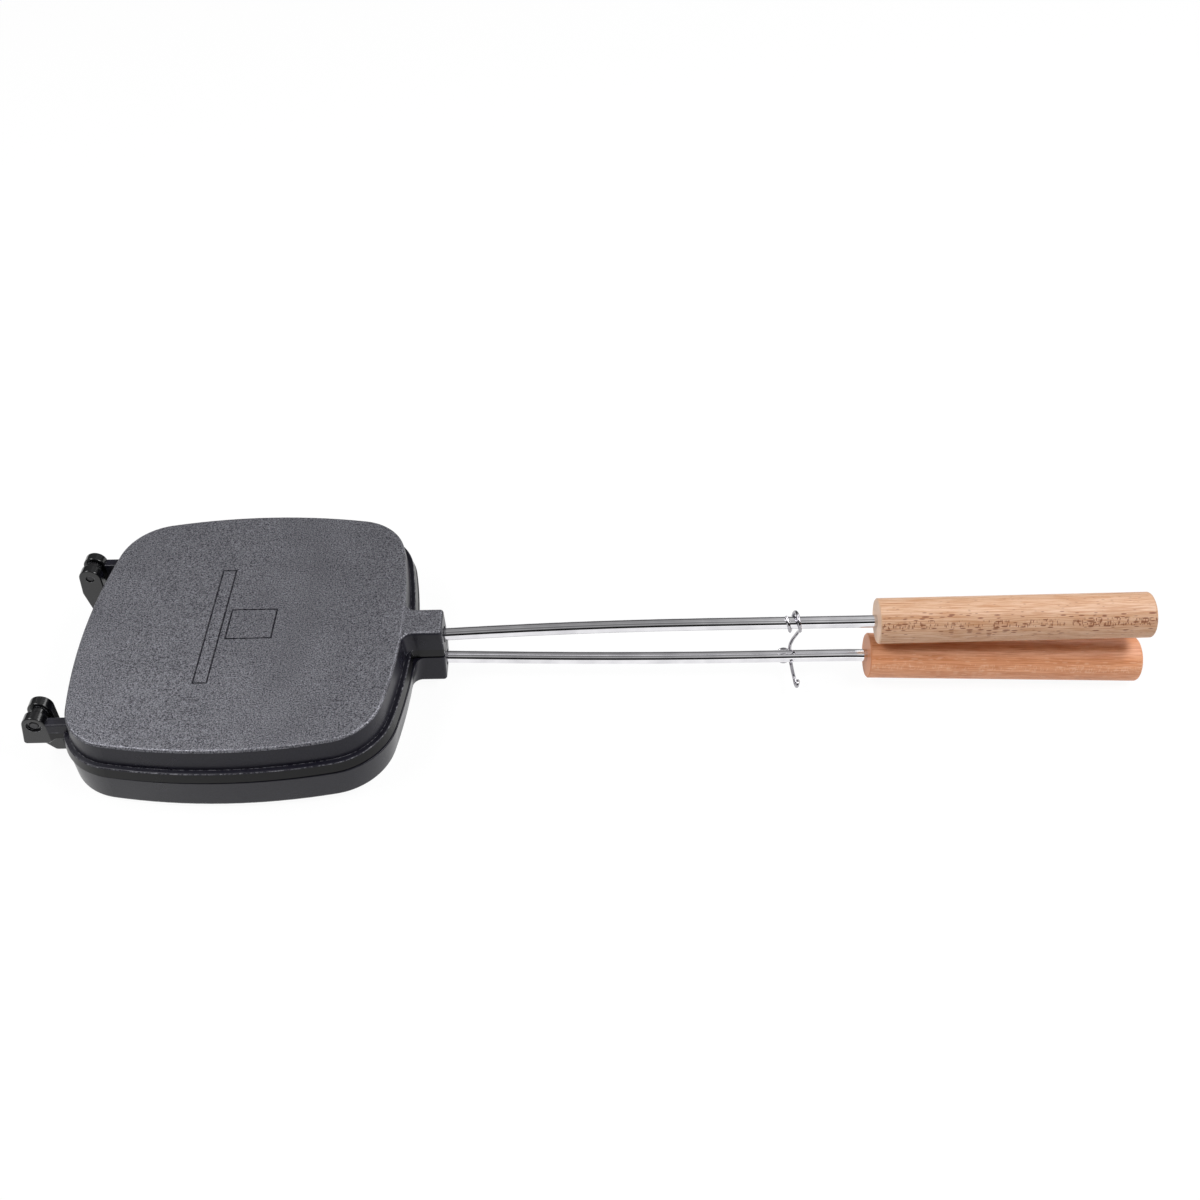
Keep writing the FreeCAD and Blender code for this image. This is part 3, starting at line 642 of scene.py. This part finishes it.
class PIE_IRON_OT_hinge_pins(bpy.types.Operator):
    """Finish the two hinge pins"""

    bl_idname = "pie_iron.hinge_pins"
    bl_label = "Hinge Pins"

    def execute(self, context):
        steel = dark_pin_steel(context.scene.pie_iron_finish)
        dress("front_hinge_pin", steel)
        dress("rear_hinge_pin", steel)
        return {"FINISHED"}


class PIE_IRON_OT_rods_and_hook(bpy.types.Operator):
    """Finish the two rods and the wire hook with bright plating"""

    bl_idname = "pie_iron.rods_and_hook"
    bl_label = "Rods and Hook"

    def execute(self, context):
        finish = context.scene.pie_iron_finish
        rod_plating = plated_steel("plated_rods", finish.plating, finish.plating_dulled)
        hook_plating = plated_steel("plated_hook", finish.wire_plating,
                                    finish.wire_plating_dulled)
        dress("lower_rod", rod_plating)
        dress("upper_rod", rod_plating)
        dress("latch_hook", hook_plating)
        return {"FINISHED"}


class PIE_IRON_OT_handles(bpy.types.Operator):
    """Finish the two turned handles in two shades of beech"""

    bl_idname = "pie_iron.handles"
    bl_label = "Handles"

    def execute(self, context):
        finish = context.scene.pie_iron_finish
        upper = turned_beech(
            "pale_beech", (finish.pale_beech, finish.pale_beech_late, finish.pale_beech_rays),
            start=(0.2491, 0, 0.02425), lean=math.radians(0.49), sawing=math.radians(-56),
            ray_strength=0.88, end_share=0.0)
        lower = turned_beech(
            "red_beech", (finish.red_beech, finish.red_beech_late, finish.red_beech_rays),
            start=(0.2473, 0, 0.00438), lean=math.radians(-2.53), sawing=math.radians(-70),
            ray_strength=0.3, end_share=0.9)
        dress("upper_handle", upper)
        dress("lower_handle", lower)
        return {"FINISHED"}


class PIE_IRON_OT_stage(bpy.types.Operator):
    """Lay the pale floor under the iron, light it softly and set up the camera"""

    bl_idname = "pie_iron.stage"
    bl_label = "Floor, Light and Camera"

    def execute(self, context):
        studio = context.scene.pie_iron_studio
        bpy.ops.object.select_all(action="DESELECT")

        # The iron lies on its lower lug toes and on the end of its lower handle
        plate_low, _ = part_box("lower_plate")
        handle_low, handle_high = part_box("lower_handle")
        slope = math.atan2(handle_low.z, handle_high.x - plate_low.x)
        bpy.ops.mesh.primitive_plane_add(size=FLOOR_WIDTH, location=(plate_low.x, 0, 0),
                                         rotation=(0, -slope, 0))
        floor = context.active_object
        floor.name = "floor"
        floor.data.materials.append(pale_floor())
        context.scene.world = studio_room()

        for name, spot, width, depth, power in LAMPS:
            bpy.ops.object.light_add(type="AREA", location=spot)
            lamp = context.active_object
            lamp.name = name
            beam = Vector(LIT_SPOT) - Vector(spot)
            lamp.rotation_euler = beam.to_track_quat("-Z", "Y").to_euler()
            lamp.data.shape = "RECTANGLE"
            lamp.data.size = width
            lamp.data.size_y = depth
            lamp.data.energy = power

        bpy.ops.object.camera_add(location=studio.camera_place)
        camera = context.active_object
        camera.rotation_euler = (Matrix.Rotation(studio.camera_yaw, 3, "Z")
                                 @ Matrix.Rotation(math.pi / 2 - studio.camera_pitch, 3, "X")
                                 @ Matrix.Rotation(studio.camera_roll, 3, "Z")).to_euler()
        camera.data.sensor_width = SENSOR_WIDTH
        camera.data.lens = studio.camera_lens
        camera.data.shift_y = studio.camera_rise
        camera.data.clip_start = NEAREST_SEEN
        context.scene.camera = camera
        context.scene.view_settings.view_transform = "Standard"
        return {"FINISHED"}


OPERATORS = (PIE_IRON_OT_cast_halves, PIE_IRON_OT_hinge_pins, PIE_IRON_OT_rods_and_hook,
             PIE_IRON_OT_handles, PIE_IRON_OT_stage)


class PIE_IRON_PT_sidebar(bpy.types.Panel):
    """The steps that finish the iron, with their sizes and colours"""

    bl_label = "Pie Iron"
    bl_idname = "PIE_IRON_PT_sidebar"
    bl_space_type = "VIEW_3D"
    bl_region_type = "UI"
    bl_category = "Pie Iron"

    def draw(self, context):
        for group in (context.scene.pie_iron_finish, context.scene.pie_iron_studio):
            box = self.layout.box()
            for name in group.__annotations__:
                box.prop(group, name)
        for operator in OPERATORS:
            self.layout.operator(operator.bl_idname)


CLASSES = (PieIronFinish, PieIronStudio, *OPERATORS, PIE_IRON_PT_sidebar)


def register():
    for cls in CLASSES:
        bpy.utils.register_class(cls)
    bpy.types.Scene.pie_iron_finish = PointerProperty(type=PieIronFinish)
    bpy.types.Scene.pie_iron_studio = PointerProperty(type=PieIronStudio)


def unregister():
    del bpy.types.Scene.pie_iron_studio
    del bpy.types.Scene.pie_iron_finish
    for cls in reversed(CLASSES):
        bpy.utils.unregister_class(cls)


def main():
    """Run every step in order."""
    register()
    bpy.ops.pie_iron.cast_halves()
    bpy.ops.pie_iron.hinge_pins()
    bpy.ops.pie_iron.rods_and_hook()
    bpy.ops.pie_iron.handles()
    bpy.ops.pie_iron.stage()


if __name__ == "__main__":
    main()
